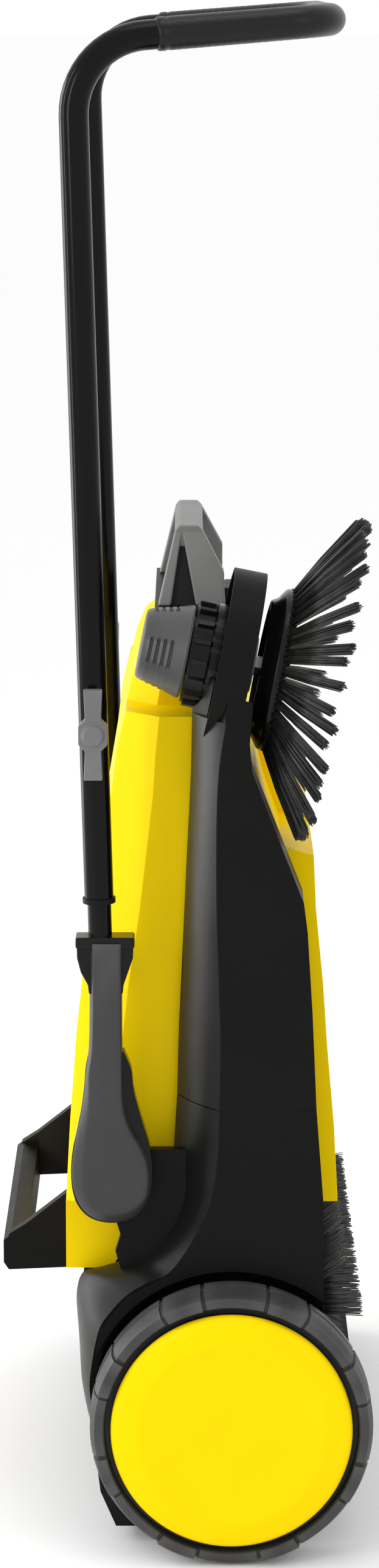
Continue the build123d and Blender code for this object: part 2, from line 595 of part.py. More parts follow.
def container_block(sections, half, skin):
    """Stack of bevelled sections, each moved inwards by the skin."""
    faces = []
    for z, left, right, bevel in sections:
        y = half - skin
        edge = bevel + 0.4 * skin if skin else bevel
        low, high = left + skin, right - skin
        points = [(high, -y), (high, y), (low + edge, y), (low, y - edge), (low, edge - y), (low + edge, -y)]
        faces.append(Pos(0, 0, z) * make_face(Polyline(*points, close=True)))
    return loft(faces, ruled=True)


def shifted(sections, first, last):
    """The same sections with the first and last heights moved, for the hollow inside."""
    moved = [list(row) for row in sections]
    moved[0][0] += first
    moved[-1][0] += last
    return moved


POCKET = [(-93, 204), (-57, 204), (-46, 224), (-22, 258), (-93, 258)]
pocket_inside = [(-89, 208), (-60, 208), (-49, 226), (-28, 259), (-89, 259)]


def brush_room(extra):
    """Room for the side brush and its carrier, which the container is stepped round on that side."""
    return slab(inset(BRUSH_ROOM, -extra), -CONTAINER_HALF - 10, BRUSH_ROOM_Y + extra)


container = container_block(CONTAINER_SECTIONS, CONTAINER_HALF, 0)
container += container_block(NOSE_SECTIONS, NOSE_HALF, 0)
container += slab(POCKET, -CONTAINER_HALF + 1, CONTAINER_HALF - 1)
container -= brush_room(0)
hollow = container_block(shifted(CONTAINER_SECTIONS, 0, -3), CONTAINER_HALF, SKIN)
hollow += container_block(shifted(NOSE_SECTIONS, -6, -4), NOSE_HALF, SKIN)
container -= hollow - brush_room(SKIN)
container -= slab(pocket_inside, -CONTAINER_HALF + 5, CONTAINER_HALF - 5)
container += slab([(-24, 258), (-18, 258), (-14, 262), (-20, 262)], -CONTAINER_HALF + 2, CONTAINER_HALF - 2)
save("dirt_container", container)

LOOP_HALF = 139
GRIP_BAR = [(-144, 194), (-140, 188), (-124, 190), (-126, 214), (-138, 217), (-144, 212)]
GUSSET = [(-140, 188), (-93, 190), (-93, 252), (-126, 226), (-140, 217)]
container_handle = slab(GRIP_BAR, -LOOP_HALF, LOOP_HALF)
for side in SIDES.values():
    container_handle += slab(GUSSET, side * (LOOP_HALF - 12), side * LOOP_HALF)
save("container_handle", container_handle)
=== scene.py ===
import json
import math
import random

import bmesh
import bpy
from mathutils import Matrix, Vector


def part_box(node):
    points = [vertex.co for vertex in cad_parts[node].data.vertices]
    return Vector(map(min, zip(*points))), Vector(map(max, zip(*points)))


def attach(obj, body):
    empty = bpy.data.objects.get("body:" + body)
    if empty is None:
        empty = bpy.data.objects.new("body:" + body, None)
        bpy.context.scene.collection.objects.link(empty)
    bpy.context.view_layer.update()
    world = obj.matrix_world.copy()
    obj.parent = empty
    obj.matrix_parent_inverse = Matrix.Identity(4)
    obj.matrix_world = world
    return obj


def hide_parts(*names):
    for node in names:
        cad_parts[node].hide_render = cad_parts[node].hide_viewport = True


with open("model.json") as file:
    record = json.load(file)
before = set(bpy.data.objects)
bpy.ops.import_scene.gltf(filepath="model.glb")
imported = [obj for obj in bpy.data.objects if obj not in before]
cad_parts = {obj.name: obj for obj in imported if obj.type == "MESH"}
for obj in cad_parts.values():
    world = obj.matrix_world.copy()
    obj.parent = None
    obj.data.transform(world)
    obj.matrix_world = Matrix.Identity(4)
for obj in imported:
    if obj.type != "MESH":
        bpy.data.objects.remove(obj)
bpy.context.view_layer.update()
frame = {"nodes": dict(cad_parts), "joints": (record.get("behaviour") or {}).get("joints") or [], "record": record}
nodes = frame["nodes"]
scene = bpy.context.scene
rng = random.Random(17)
TAU = 2 * math.pi
SIDES = (("right", -1), ("left", 1))      # name and the sign of Y

BODY_OF = {node: body for body, members in frame["record"]["behaviour"]["bodies"].items()
           for node in members}
JOINT = {joint["name"]: joint for joint in frame["joints"]}


# ---- materials ----------------------------------------------------------------------------------
COAT_ROUGHNESS = 0.15
BUMP_STRENGTH = 0.6
WEAR_AND_HIGHLIGHT_FROM, WEAR_AND_HIGHLIGHT_TO, WEAR_AND_HIGHLIGHT_SHARE = 0.53, 0.62, 0.55      # pointiness where the lighter edge (wear and painted edge highlight) starts and is full


def plastic(name, colour, shade, rough, grain=1100, depth=0.00012, wave=14, specular=0.4, coat=0.0,
            metallic=0.0, spread=0.06, wear_and_highlight=None):
    """Procedural finish.

    The colour drifts slowly between shade and colour (noise scale wave), the roughness varies by
    spread, the bump is a fine grain, and the edge colour, if given, is the lighter colour of the
    sharp edges: partly wear, partly a painted edge highlight.
    """
    mat = bpy.data.materials.new(name)
    mat.use_nodes = True
    tree = mat.node_tree
    shader = tree.nodes["Principled BSDF"]
    coords = tree.nodes.new("ShaderNodeTexCoord")

    def noise(scale, detail):
        node = tree.nodes.new("ShaderNodeTexNoise")
        node.inputs["Scale"].default_value = scale
        node.inputs["Detail"].default_value = detail
        tree.links.new(coords.outputs["Object"], node.inputs["Vector"])
        return node

    drift = noise(wave, 4)
    ramp = tree.nodes.new("ShaderNodeValToRGB")
    ramp.color_ramp.elements[0].position = 0.3
    ramp.color_ramp.elements[0].color = (*shade, 1)
    ramp.color_ramp.elements[1].position = 0.7
    ramp.color_ramp.elements[1].color = (*colour, 1)
    tree.links.new(drift.outputs["Fac"], ramp.inputs["Fac"])
    paint = ramp.outputs["Color"]
    # sharp edges are made lighter: partly wear, partly a painted edge highlight
    if wear_and_highlight:
        geometry = tree.nodes.new("ShaderNodeNewGeometry")
        edge = tree.nodes.new("ShaderNodeMapRange")
        edge.inputs["From Min"].default_value = WEAR_AND_HIGHLIGHT_FROM
        edge.inputs["From Max"].default_value = WEAR_AND_HIGHLIGHT_TO
        edge.inputs["To Max"].default_value = WEAR_AND_HIGHLIGHT_SHARE
        tree.links.new(geometry.outputs["Pointiness"], edge.inputs["Value"])
        worn_and_highlit = tree.nodes.new("ShaderNodeMix")
        worn_and_highlit.data_type = "RGBA"
        tree.links.new(edge.outputs["Result"], worn_and_highlit.inputs["Factor"])
        tree.links.new(paint, worn_and_highlit.inputs["A"])
        worn_and_highlit.inputs["B"].default_value = (*wear_and_highlight, 1)
        paint = worn_and_highlit.outputs["Result"]
    tree.links.new(paint, shader.inputs["Base Color"])
    smudge = noise(wave * 5, 5)
    gloss = tree.nodes.new("ShaderNodeMapRange")
    gloss.inputs["To Min"].default_value = max(0.02, rough - spread)
    gloss.inputs["To Max"].default_value = min(1.0, rough + spread)
    tree.links.new(smudge.outputs["Fac"], gloss.inputs["Value"])
    tree.links.new(gloss.outputs["Result"], shader.inputs["Roughness"])
    skin = noise(grain, 3)
    bump = tree.nodes.new("ShaderNodeBump")
    bump.inputs["Strength"].default_value = BUMP_STRENGTH
    bump.inputs["Distance"].default_value = depth
    tree.links.new(skin.outputs["Fac"], bump.inputs["Height"])
    tree.links.new(bump.outputs["Normal"], shader.inputs["Normal"])
    shader.inputs["Specular IOR Level"].default_value = specular
    shader.inputs["Metallic"].default_value = metallic
    shader.inputs["Coat Weight"].default_value = coat
    shader.inputs["Coat Roughness"].default_value = COAT_ROUGHNESS
    return mat


# the edge colours given below are lighter than their plastic: wear and painted edge highlight
FINISH = {
    "yellow_plastic": plastic("yellow_gloss", (0.92, 0.655, 0.0), (0.90, 0.63, 0.0), 0.38,
                              grain=420, depth=0.00004, specular=0.05, spread=0.04),
    "black_plastic": plastic("black_grained", (0.0042, 0.0042, 0.0039), (0.0032, 0.0032, 0.0030),
                             0.44, specular=0.10, wear_and_highlight=(0.024, 0.024, 0.024)),
    "grey_plastic": plastic("grey_grained", (0.042, 0.042, 0.043), (0.032, 0.032, 0.033), 0.42,
                            specular=0.25, wear_and_highlight=(0.09, 0.09, 0.09)),
    "light_grey_plastic": plastic("pale_grey_grained", (0.17, 0.17, 0.175), (0.13, 0.13, 0.135),
                                  0.42, specular=0.3, wear_and_highlight=(0.28, 0.28, 0.28)),
    "tyre_rubber": plastic("tyre_rubber", (0.042, 0.042, 0.043), (0.024, 0.024, 0.025), 0.5,
                           grain=700, depth=0.0003, wave=30, specular=0.25,
                           wear_and_highlight=(0.14, 0.14, 0.14)),
    "black_rubber": plastic("black_rubber", (0.010, 0.010, 0.010), (0.007, 0.007, 0.007), 0.62,
                            grain=600, depth=0.0002, specular=0.2),
    "black_tube": plastic("powder_coat", (0.0030, 0.0030, 0.0030), (0.0022, 0.0022, 0.0022), 0.16,
                          grain=900, depth=0.00004, specular=0.14, spread=0.03),
    "grip_foam": plastic("grip_sleeve", (0.0050, 0.0048, 0.0045), (0.0034, 0.0032, 0.0030), 0.3,
                         grain=520, depth=0.0004, specular=0.26),
    "zinc_steel": plastic("zinc_plate", (0.55, 0.55, 0.56), (0.42, 0.42, 0.44), 0.34, grain=500,
                          depth=0.00006, metallic=1.0),
    "nylon": plastic("nylon_plain", (0.62, 0.6, 0.55), (0.54, 0.52, 0.47), 0.4, specular=0.45),
    "bristle": plastic("bristle_nylon", (0.030, 0.030, 0.028), (0.012, 0.012, 0.011), 0.32,
                       grain=300, depth=0.00005, wave=160, specular=0.5),
}
GLOSSY_BLACK = plastic("black_polished", (0.0040, 0.0040, 0.0040), (0.0030, 0.0030, 0.0030), 0.18,
                       specular=0.16, coat=0.03, spread=0.03, wear_and_highlight=(0.03, 0.03, 0.03))
# a smoother copy of the frame black, nearly twice as light: its lighter colour is painted sheen for the rounded
# shoulders
SHEEN_PAINTED_BLACK = plastic("black_painted_sheen", (0.0085, 0.0085, 0.0081), (0.0065, 0.0065, 0.0062), 0.36,
                      specular=0.15, spread=0.05)
# no lighter edges (wear and painted edge highlight) on the large frame mouldings: pointiness would streak across
# their flat faces
FRAME_BLACK = plastic("black_frame", (0.0044, 0.0044, 0.0041), (0.0033, 0.0033, 0.0031), 0.44,
                      specular=0.10)
HANDLE_GREY = plastic("handle_grey", (0.175, 0.175, 0.170), (0.135, 0.135, 0.132), 0.42,
                      specular=0.3, wear_and_highlight=(0.30, 0.30, 0.29))
KNOB_GREY = plastic("knob_grey", (0.085, 0.085, 0.085), (0.062, 0.062, 0.062), 0.34,
                    specular=0.3, wear_and_highlight=(0.20, 0.20, 0.20))
SLOT_OF = {part["node"]: part["material_slot"] for part in frame["record"]["subparts"]}

for node_name, node_object in nodes.items():
    finish = FINISH[SLOT_OF[node_name]]
    if not node_object.material_slots:
        node_object.data.materials.append(finish)
    for material_slot in node_object.material_slots:
        material_slot.link = "OBJECT"
        material_slot.material = finish


# ---- mesh helpers -------------------------------------------------------------------------------
def piece(name, mesh, body, slot, replaces=(), finish=None):
    """A new object on a body, in place of the CAD nodes that it replaces."""
    obj = bpy.data.objects.new(name, mesh)
    scene.collection.objects.link(obj)
    mesh.materials.clear()
    mesh.materials.append(finish or FINISH[slot])
    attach(obj, body)
    if replaces:
        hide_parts(*replaces)
    return obj


def mesh_from(name, verts, faces, sharp=40):
    """A smooth-shaded mesh with hard edges above sharp degrees."""
    mesh = bpy.data.meshes.new(name)
    mesh.from_pydata(verts, [], faces)
    work = bmesh.new()
    work.from_mesh(mesh)
    bmesh.ops.remove_doubles(work, verts=work.verts, dist=1e-6)
    bmesh.ops.recalc_face_normals(work, faces=work.faces)
    work.to_mesh(mesh)
    work.free()
    mesh.polygons.foreach_set("use_smooth", [True] * len(mesh.polygons))
    mesh.set_sharp_from_angle(angle=math.radians(sharp))
    return mesh


FLAT_ANGLE = 0.7       # degrees; faces that meet at less are one flat face
EDGE_ANGLE = 30        # degrees; edges that turn by more are rounded


def clean_copy(node):
    """The node's solid as a closed mesh with its flat faces made whole again."""
    source = nodes[node].data
    work = bmesh.new()
    made = [work.verts.new(v.co) for v in source.vertices]
    work.verts.index_update()
    for polygon in source.polygons:
        corners = [made[i] for i in polygon.vertices]
        if len(set(corners)) > 2:
            try:
                work.faces.new(corners)
            except ValueError:
                continue
    bmesh.ops.remove_doubles(work, verts=work.verts, dist=2e-6)
    bmesh.ops.dissolve_limit(work, angle_limit=math.radians(FLAT_ANGLE), verts=work.verts,
                             edges=work.edges)
    bmesh.ops.recalc_face_normals(work, faces=work.faces)
    return work


def refined(node, width, segments=3, finish=None):
    """A copy of a CAD node with moulded, rounded edges."""
    work = clean_copy(node)
    mesh = bpy.data.meshes.new(node + "_moulded")
    work.to_mesh(mesh)
    work.free()
    mesh.polygons.foreach_set("use_smooth", [True] * len(mesh.polygons))
    obj = piece(node + "_moulded", mesh, BODY_OF[node], SLOT_OF[node], [node], finish)
    rounding = obj.modifiers.new("rounding", "BEVEL")
    rounding.width = width
    rounding.segments = segments
    rounding.limit_method = "ANGLE"
    rounding.angle_limit = math.radians(EDGE_ANGLE)
    rounding.harden_normals = True
    rounding.use_clamp_overlap = True


def ring_grid(name, place, sections, sharp=38):
    """Closed ring of closed sections, each (angle, [(radius, height), ...]), going once round."""
    verts, faces = [], []
    count = len(sections[0][1])
    for angle, profile in sections:
        verts.extend(place(radius, height, angle) for radius, height in profile)
    for i in range(len(sections)):
        a, b = i * count, ((i + 1) % len(sections)) * count
        for k in range(count):
            n = (k + 1) % count
            faces.append((a + k, a + n, b + n, b + k))
    mesh = mesh_from(name, verts, faces, sharp=sharp)
    work = bmesh.new()
    work.from_mesh(mesh)
    bmesh.ops.dissolve_degenerate(work, dist=1e-7, edges=work.edges)
    bmesh.ops.recalc_face_normals(work, faces=work.faces)
    work.to_mesh(mesh)
    work.free()
    mesh.set_sharp_from_angle(angle=math.radians(sharp))
    return mesh


def prism(verts, faces, low_loop, high_loop):
    """Adds a closed prism between two loops of the same number of points."""
    base, n = len(verts), len(low_loop)
    verts += list(low_loop) + list(high_loop)
    faces += [(base + i, base + (i + 1) % n, base + n + (i + 1) % n, base + n + i)
              for i in range(n)]
    faces += [tuple(base + i for i in range(n)), tuple(base + n + i for i in reversed(range(n)))]


def moulded(name, verts, faces, body, slot, replaces, width, finish):
    """Closed piece with flat faces and rounded edges."""
    obj = piece(name, mesh_from(name, verts, faces, sharp=30), body, slot, replaces, finish)
    rounding = obj.modifiers.new("rounding", "BEVEL")
    rounding.width, rounding.segments, rounding.angle_limit = width, 4, math.radians(25)
    rounding.harden_normals = True


# ---- frame, housing and container: the CAD shapes with moulded edges ----------------------------
for side in ("right", "left"):
    refined(f"{side}_side_frame", 0.0016, finish=FRAME_BLACK)
    refined(f"{side}_front_arm", 0.0016, finish=FRAME_BLACK)
    refined(f"{side}_arm_cover", 0.0010)
    refined(f"{side}_clamp_knob", 0.0042, segments=6)
    refined(f"{side}_bearing_plate", 0.0005, segments=2)
refined("rear_housing", 0.0015)
refined("front_crossbar", 0.0020)
refined("container_handle", 0.0025, segments=4)
refined("dirt_container", 0.0030, segments=4)
refined("brush_carrier", 0.0016, finish=FRAME_BLACK)
refined("brush_collar", 0.0009, segments=2, finish=GLOSSY_BLACK)
refined("brush_carriage", 0.0007, segments=2)
refined("side_brush_hub", 0.0012, finish=GLOSSY_BLACK)
refined("parking_feet", 0.0012)
refined("dust_lip", 0.0006, segments=2)
refined("clamp_seats", 0.0010, segments=2)
refined("tube_bushes", 0.0006, segments=2)
refined("belt_guide", 0.0006, segments=2)

# ---- carry handle: a bar on two A-shaped legs ---------------------------------------------------
low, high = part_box("carry_handle")
foot, top = low.z, high.z
BAR_HALF, FOOT_HALF = 0.080, 0.099       # half widths over the bar's ends and over the feet
BAR_LAP = 0.002
LEG_HALF, WEB_HALF = 0.0065, 0.0015      # half thickness of a leg and of the web in it


def leg(verts, faces, out, points, half):
    """Adds a prism from the bar's end to the foot; points run round it in X and Z."""
    near, far = [], []
    for x, z in points:
        share = (top - z) / (top - foot)
        middle = BAR_HALF - 0.006 + (FOOT_HALF - 0.007 - BAR_HALF + 0.006) * share
        near.append((x, out * (middle - half), z))
        far.append((x, out * (middle + half), z))
    prism(verts, faces, near, far)


verts, faces = [], []
bar = [(-0.0085, top - 0.017), (-0.0085, top - 0.004), (-0.0050, top), (0.0095, top),
       (0.0135, top - 0.004), (0.0135, top - 0.017)]
prism(verts, faces, [(x, -BAR_HALF - BAR_LAP, z) for x, z in bar],
      [(x, BAR_HALF + BAR_LAP, z) for x, z in bar])
for out in (-1, 1):
    leg(verts, faces, out, [(-0.0030, top - 0.004), (0.0132, top - 0.004), (0.0300, top - 0.036),
                            (0.0300, foot), (0.0080, foot)], LEG_HALF)
    leg(verts, faces, out, [(-0.0084, top - 0.005), (-0.0030, top - 0.005), (-0.0115, foot),
                            (-0.0215, foot)], LEG_HALF)
moulded("carry_handle_moulded", verts, faces, "chassis", "grey_plastic", ["carry_handle"], 0.0016,
        HANDLE_GREY)
# the thin webs between each pair of legs are black, not the handle's grey: painted shade in the recess
verts, faces = [], []
for out in (-1, 1):
    leg(verts, faces, out, [(-0.0060, top - 0.010), (0.0060, top - 0.010), (0.0220, foot),
                            (-0.0160, foot)], WEB_HALF)
piece("carry_handle_webs_painted_shade", mesh_from("carry_handle_webs_painted_shade", verts, faces, sharp=30), "chassis",
      "black_plastic")

# ---- rounded shoulders along the edge of the frames ---------------------------------------------
# each row is (outer face x, z, inner edge x, z) in millimetres, from the top down
UPPER_SHOULDER = [
    (30, 646, 5, 646), (24, 599, 4, 599), (23, 516, 0, 516), (25, 440, -3, 440),
    (26, 402, -5, 404), (25.2, 348.4, -6.5, 348.4),
]
LOWER_SHOULDER = [
    (25.2, 347.6, -6.5, 347.6), (24.4, 320, -8, 320), (22, 295, -9, 296), (17, 272, -7, 270),
    (3, 242, -17, 241), (-13, 220, -42, 218), (-30, 212, -62, 210), (-45, 202.5, -79, 205),
    (-57.5, 189, -84.5, 190), (-67, 173, -84, 168), (-73.5, 136, -80.5, 134),
    (-72.5, 116, -77.5, 115), (-69, 96, -73, 96),
]


def smooth_rows(rows, each=8):
    """Catmull-Rom through the rows."""
    padded = [rows[0]] + rows + [rows[-1]]
    made = []
    for i in range(1, len(padded) - 2):
        p0, p1, p2, p3 = padded[i - 1:i + 3]
        for step in range(each):
            t = step / each
            made.append(tuple(
                0.5 * (2 * b + (c - a) * t + (2 * a - 5 * b + 4 * c - d) * t * t
                       + (3 * b - a - 3 * c + d) * t ** 3)
                for a, b, c, d in zip(p0, p1, p2, p3)))
    return made + [rows[-1]]


ACROSS = 12               # steps from the outer face to the inner edge
SHOULDER_BULGE = 3.6      # rise of the middle of a row, in millimetres
SHOULDER_LAP = 0.0003     # stands this far proud of the frame's face and edge
for side, out in SIDES:
    low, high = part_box(f"{side}_side_frame")
    face_y = max(abs(low.y), abs(high.y)) + SHOULDER_LAP
    edge_y = min(abs(low.y), abs(high.y)) - SHOULDER_LAP
    for part, rows in (("upper", UPPER_SHOULDER), ("lower", LOWER_SHOULDER)):
        rows = smooth_rows(rows)
        verts, faces = [], []
        for i, (ox, oz, ix, iz) in enumerate(rows):
            before, after = rows[max(i - 1, 0)], rows[min(i + 1, len(rows) - 1)]
            along = Vector(((after[0] + after[2] - before[0] - before[2]) / 2, 0,
                            (after[1] + after[3] - before[1] - before[3]) / 2)).normalized()
            span = Vector((ix - ox, (face_y - edge_y) * 1000, iz - oz))
            normal = along.cross(span).normalized()
            if normal.y > 0:
                normal = -normal
            loop = []
            for k in range(ACROSS + 1):
                t = k / ACROSS
                point = Vector((ox + (ix - ox) * t, -(face_y - (face_y - edge_y) * t) * 1000,
                                oz + (iz - oz) * t))
                point += normal * SHOULDER_BULGE * 4 * t * (1 - t)
                loop.append(point)
            # the last two points close the loop inside the frame
            loop += [loop[-1] - normal * 2.5 + Vector((2.5, 0, 0)),
                     loop[0] - normal * 2.5 + Vector((4, 1.5, 0))]
            verts += [(p.x / 1000, -out * p.y / 1000, p.z / 1000) for p in loop]
        n = ACROSS + 3
        for i in range(len(rows) - 1):
            for k in range(n):
                m = (k + 1) % n
                faces.append((i * n + k, i * n + m, i * n + n + m, i * n + n + k))
        faces.append(tuple(range(n)))
        faces.append(tuple(reversed(range((len(rows) - 1) * n, len(rows) * n))))
        name = f"{side}_{part}_shoulder"
        # the shoulders take the lighter black, which paints the sheen on them
        piece(name, mesh_from(name, verts, faces, sharp=60), "chassis", "black_plastic",
              finish=SHEEN_PAINTED_BLACK)

# ---- wheels -------------------------------------------------------------------------------------
BLOCKS = 8               # pairs of a narrow and a wide block round the tyre
WIDE = 0.60              # share of a pitch taken by the wide block
FIRST_BLOCK = math.radians(12)
GROOVE_HALF, GROOVE_WALL = math.radians(0.9), math.radians(0.45)
CAP_FACES = 160
for side, out in SIDES:
    low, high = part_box(f"{side}_tyre")
    hub_x, hub_z = (low.x + high.x) / 2, (low.z + high.z) / 2
    radius = (high.z - low.z) / 2
    inner = min(abs(low.y), abs(high.y))

    def place(r, h, a, hub_x=hub_x, hub_z=hub_z, out=out):
        return (hub_x + r * math.cos(a), out * h, hub_z + r * math.sin(a))

    def tyre_section(level, radius=radius, inner=inner):
        """level 0 in a groove, 1 on a narrow block, 2 on a wide block"""
        crown = radius - (0.0014, 0.0, 0.0)[level]
        shoulder = radius - (0.0021, 0.0002, 0.0012)[level]
        wall = inner + (0.0394, 0.0425, 0.0403)[level]
        return [
            (radius - 0.020, inner + 0.002), (radius - 0.006, inner),
            (radius - 0.003, inner + 0.001), (crown - 0.0008, inner + 0.003),
            (crown, inner + 0.0045), (crown, inner + 0.014),
            (crown - 0.0022, inner + 0.0148), (crown - 0.0022, inner + 0.0172),
            (crown, inner + 0.018), (crown, inner + 0.029),
            (shoulder - 0.0006, inner + 0.0345), (shoulder - 0.0022, wall - 0.0010),
            (shoulder - 0.0045, wall), (radius - 0.0098, wall),
            (radius - 0.0108, wall - 0.0012), (radius - 0.0112, inner + 0.0370),
            (radius - 0.0118, inner + 0.0310), (radius - 0.020, inner + 0.0300),
        ]

    sections = []
    pitch = TAU / BLOCKS
    for block in range(BLOCKS):
        start = block * pitch + FIRST_BLOCK
        for offset, level, share, steps in ((0.0, 1, 1 - WIDE, 5), (1 - WIDE, 2, WIDE, 7)):
            begin = start + offset * pitch + GROOVE_HALF
            end = start + (offset + share) * pitch - GROOVE_HALF
            sections.append((begin - GROOVE_WALL, tyre_section(0)))
            for step in range(steps + 1):
                sections.append((begin + (end - begin) * step / steps, tyre_section(level)))
            sections.append((end + GROOVE_WALL, tyre_section(0)))
    piece(f"{side}_tyre_tread", ring_grid(f"{side}_tyre_tread", place, sections, sharp=32),
          f"{side}_wheel", "tyre_rubber", [f"{side}_tyre"])

    low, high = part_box(f"{side}_wheel_cap")
    face = max(abs(low.y), abs(high.y))
    cap_r = (high.z - low.z) / 2
    # (radius, height over the outer face), from the centre out and back underneath
    cap = [
        (0.0, -0.0026), (0.018, -0.0025), (0.0192, -0.0023), (0.0205, -0.0023), (0.0217, -0.0025),
        (0.045, -0.0018), (0.066, -0.0010), (0.0683, -0.0004), (0.0700, -0.0001), (0.0722, 0.0),
        (0.0745, -0.0004), (0.0770, -0.0012), (0.0830, -0.0022), (0.0865, -0.0031),
        (0.0888, -0.0041), (0.0904, -0.0054), (0.0915, -0.0072), (cap_r, -0.0098),
        (0.0880, -0.0098), (0.0860, -0.0060), (0.070, -0.0034), (0.0, -0.0058),
    ]
    ring = [(TAU * step / CAP_FACES, [(r, face + h) for r, h in cap])
            for step in range(CAP_FACES)]
    piece(f"{side}_cap_dish", ring_grid(f"{side}_cap_dish", place, ring, sharp=50),
          f"{side}_wheel", "yellow_plastic", [f"{side}_wheel_cap"])

# ---- side brush: tufts and their sockets ---------------------------------------------------------
spin = JOINT["side_brush_spin"]
axis = Vector(spin["axis"]).normalized()
across_axis = Vector((0, 1, 0))
up_axis = axis.cross(across_axis).normalized()
if up_axis.z < 0:
    up_axis = -up_axis
hub_low, hub_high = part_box("side_brush_hub")
HUB_R = (hub_high.y - hub_low.y) / 2
brush_zero = Vector(spin["pos_m"])


def on_axis(r, h, a):
    """Point at a radius, a height along the brush's axis and an angle round it."""
    return tuple(brush_zero + axis * h + (across_axis * math.cos(a) + up_axis * math.sin(a)) * r)


STRAND_SIDES = 3


def bristle_mesh(name, strands):
    """One mesh of closed strands; strands is a list of (points, start radius, end radius)."""
    sides = STRAND_SIDES
    verts, faces = [], []
    for points, first, last in strands:
        base = len(verts)
        direction = (points[-1] - points[0]).normalized()
        helper = Vector((0, 0, 1)) if abs(direction.z) < 0.9 else Vector((0, 1, 0))
        u = direction.cross(helper).normalized()
        v = direction.cross(u)
        for i, point in enumerate(points):
            r = first + (last - first) * i / (len(points) - 1)
            for k in range(sides):
                a = TAU * k / sides
                verts.append(point + (u * math.cos(a) + v * math.sin(a)) * r)
        for i in range(len(points) - 1):
            for k in range(sides):
                n = (k + 1) % sides
                a, b = base + i * sides, base + (i + 1) * sides
                faces.append((a + k, a + n, b + n, b + k))
        faces.append(tuple(base + k for k in reversed(range(sides))))
        faces.append(tuple(base + (len(points) - 1) * sides + k for k in range(sides)))
    mesh = bpy.data.meshes.new(name)
    mesh.from_pydata([tuple(v) for v in verts], [], faces)
    mesh.polygons.foreach_set("use_smooth", [True] * len(mesh.polygons))
    return mesh


TUFTS = 48
TUFT_STRANDS = 62
TUFT_ROOT_H = 0.0035                  # height of the roots along the axis
TUFT_TIP = (0.1254, 0.0462)           # radius and height of the tips
TUFT_STAGGER = 0.0020                 # every other tuft stands this much higher or lower
TUFT_ROOT_HALF = 0.0025
TUFT_TIP_HALF = (0.0042, 0.0035)      # half width and half thickness of the splayed tip
STRAND_R = (0.00052, 0.00044)         # at the root and at the tip
strands = []
for tuft in range(TUFTS):
    a = TAU * (tuft + 0.15 * rng.uniform(-1, 1)) / TUFTS
    lift = rng.uniform(-0.0015, 0.0015) + (TUFT_STAGGER if tuft % 2 else -TUFT_STAGGER)
    root = Vector(on_axis(HUB_R - 0.0045, TUFT_ROOT_H, a))
    sway = math.radians(rng.uniform(-1.2, 1.2))
    tip = Vector(on_axis(TUFT_TIP[0] - abs(lift) * 0.5, TUFT_TIP[1] + lift, a + sway))
    run = (tip - root).normalized()
    side_way = axis.cross(run).normalized()
    thick_way = run.cross(side_way)
    for _ in range(TUFT_STRANDS):
        spread, turn = math.sqrt(rng.random()), rng.uniform(0, TAU)
        u, v = spread * math.cos(turn), spread * math.sin(turn)
        start = root + side_way * (u * TUFT_ROOT_HALF) + thick_way * (v * TUFT_ROOT_HALF)
        end = (tip + side_way * (u * TUFT_TIP_HALF[0]) + thick_way * (v * TUFT_TIP_HALF[1])
               - run * rng.uniform(0, 0.0045))
        middle = (start + end) / 2 - run * 0.001 + side_way * u * 0.0006 - axis * 0.0012
        strands.append(([start, middle, end], *STRAND_R))
piece("side_brush_tufts", bristle_mesh("side_brush_tufts", strands), "side_brush", "bristle",
      ["side_brush_bristles"])

SOCKET_FACES = 12
# (height along the tuft, radius), from the buried end to the lip and back into the mouth
SOCKET = ((-0.004, 0.0040), (0.0038, 0.0040), (0.0046, 0.0036), (0.0046, 0.0030),
          (0.0036, 0.0028))
verts, faces = [], []
for tuft in range(TUFTS):
    a = TAU * tuft / TUFTS
    centre = Vector(on_axis(HUB_R - 0.0050, 0.0030, a))
    run = (Vector(on_axis(*TUFT_TIP, a)) - centre).normalized()
    u = axis.cross(run).normalized()
    v = run.cross(u)
    base = len(verts)
    for h, r in SOCKET:
        for k in range(SOCKET_FACES):
            t = TAU * k / SOCKET_FACES
            verts.append(tuple(centre + run * h + (u * math.cos(t) + v * math.sin(t)) * r))
    for i in range(len(SOCKET) - 1):
        lower, upper = base + i * SOCKET_FACES, base + (i + 1) * SOCKET_FACES
        for k in range(SOCKET_FACES):
            n = (k + 1) % SOCKET_FACES
            faces.append((lower + k, lower + n, upper + n, upper + k))
    faces.append(tuple(base + k for k in reversed(range(SOCKET_FACES))))
    last = base + (len(SOCKET) - 1) * SOCKET_FACES
    faces.append(tuple(last + k for k in range(SOCKET_FACES)))
piece("side_brush_sockets", mesh_from("side_brush_sockets", verts, faces), "side_brush",
      "black_plastic")

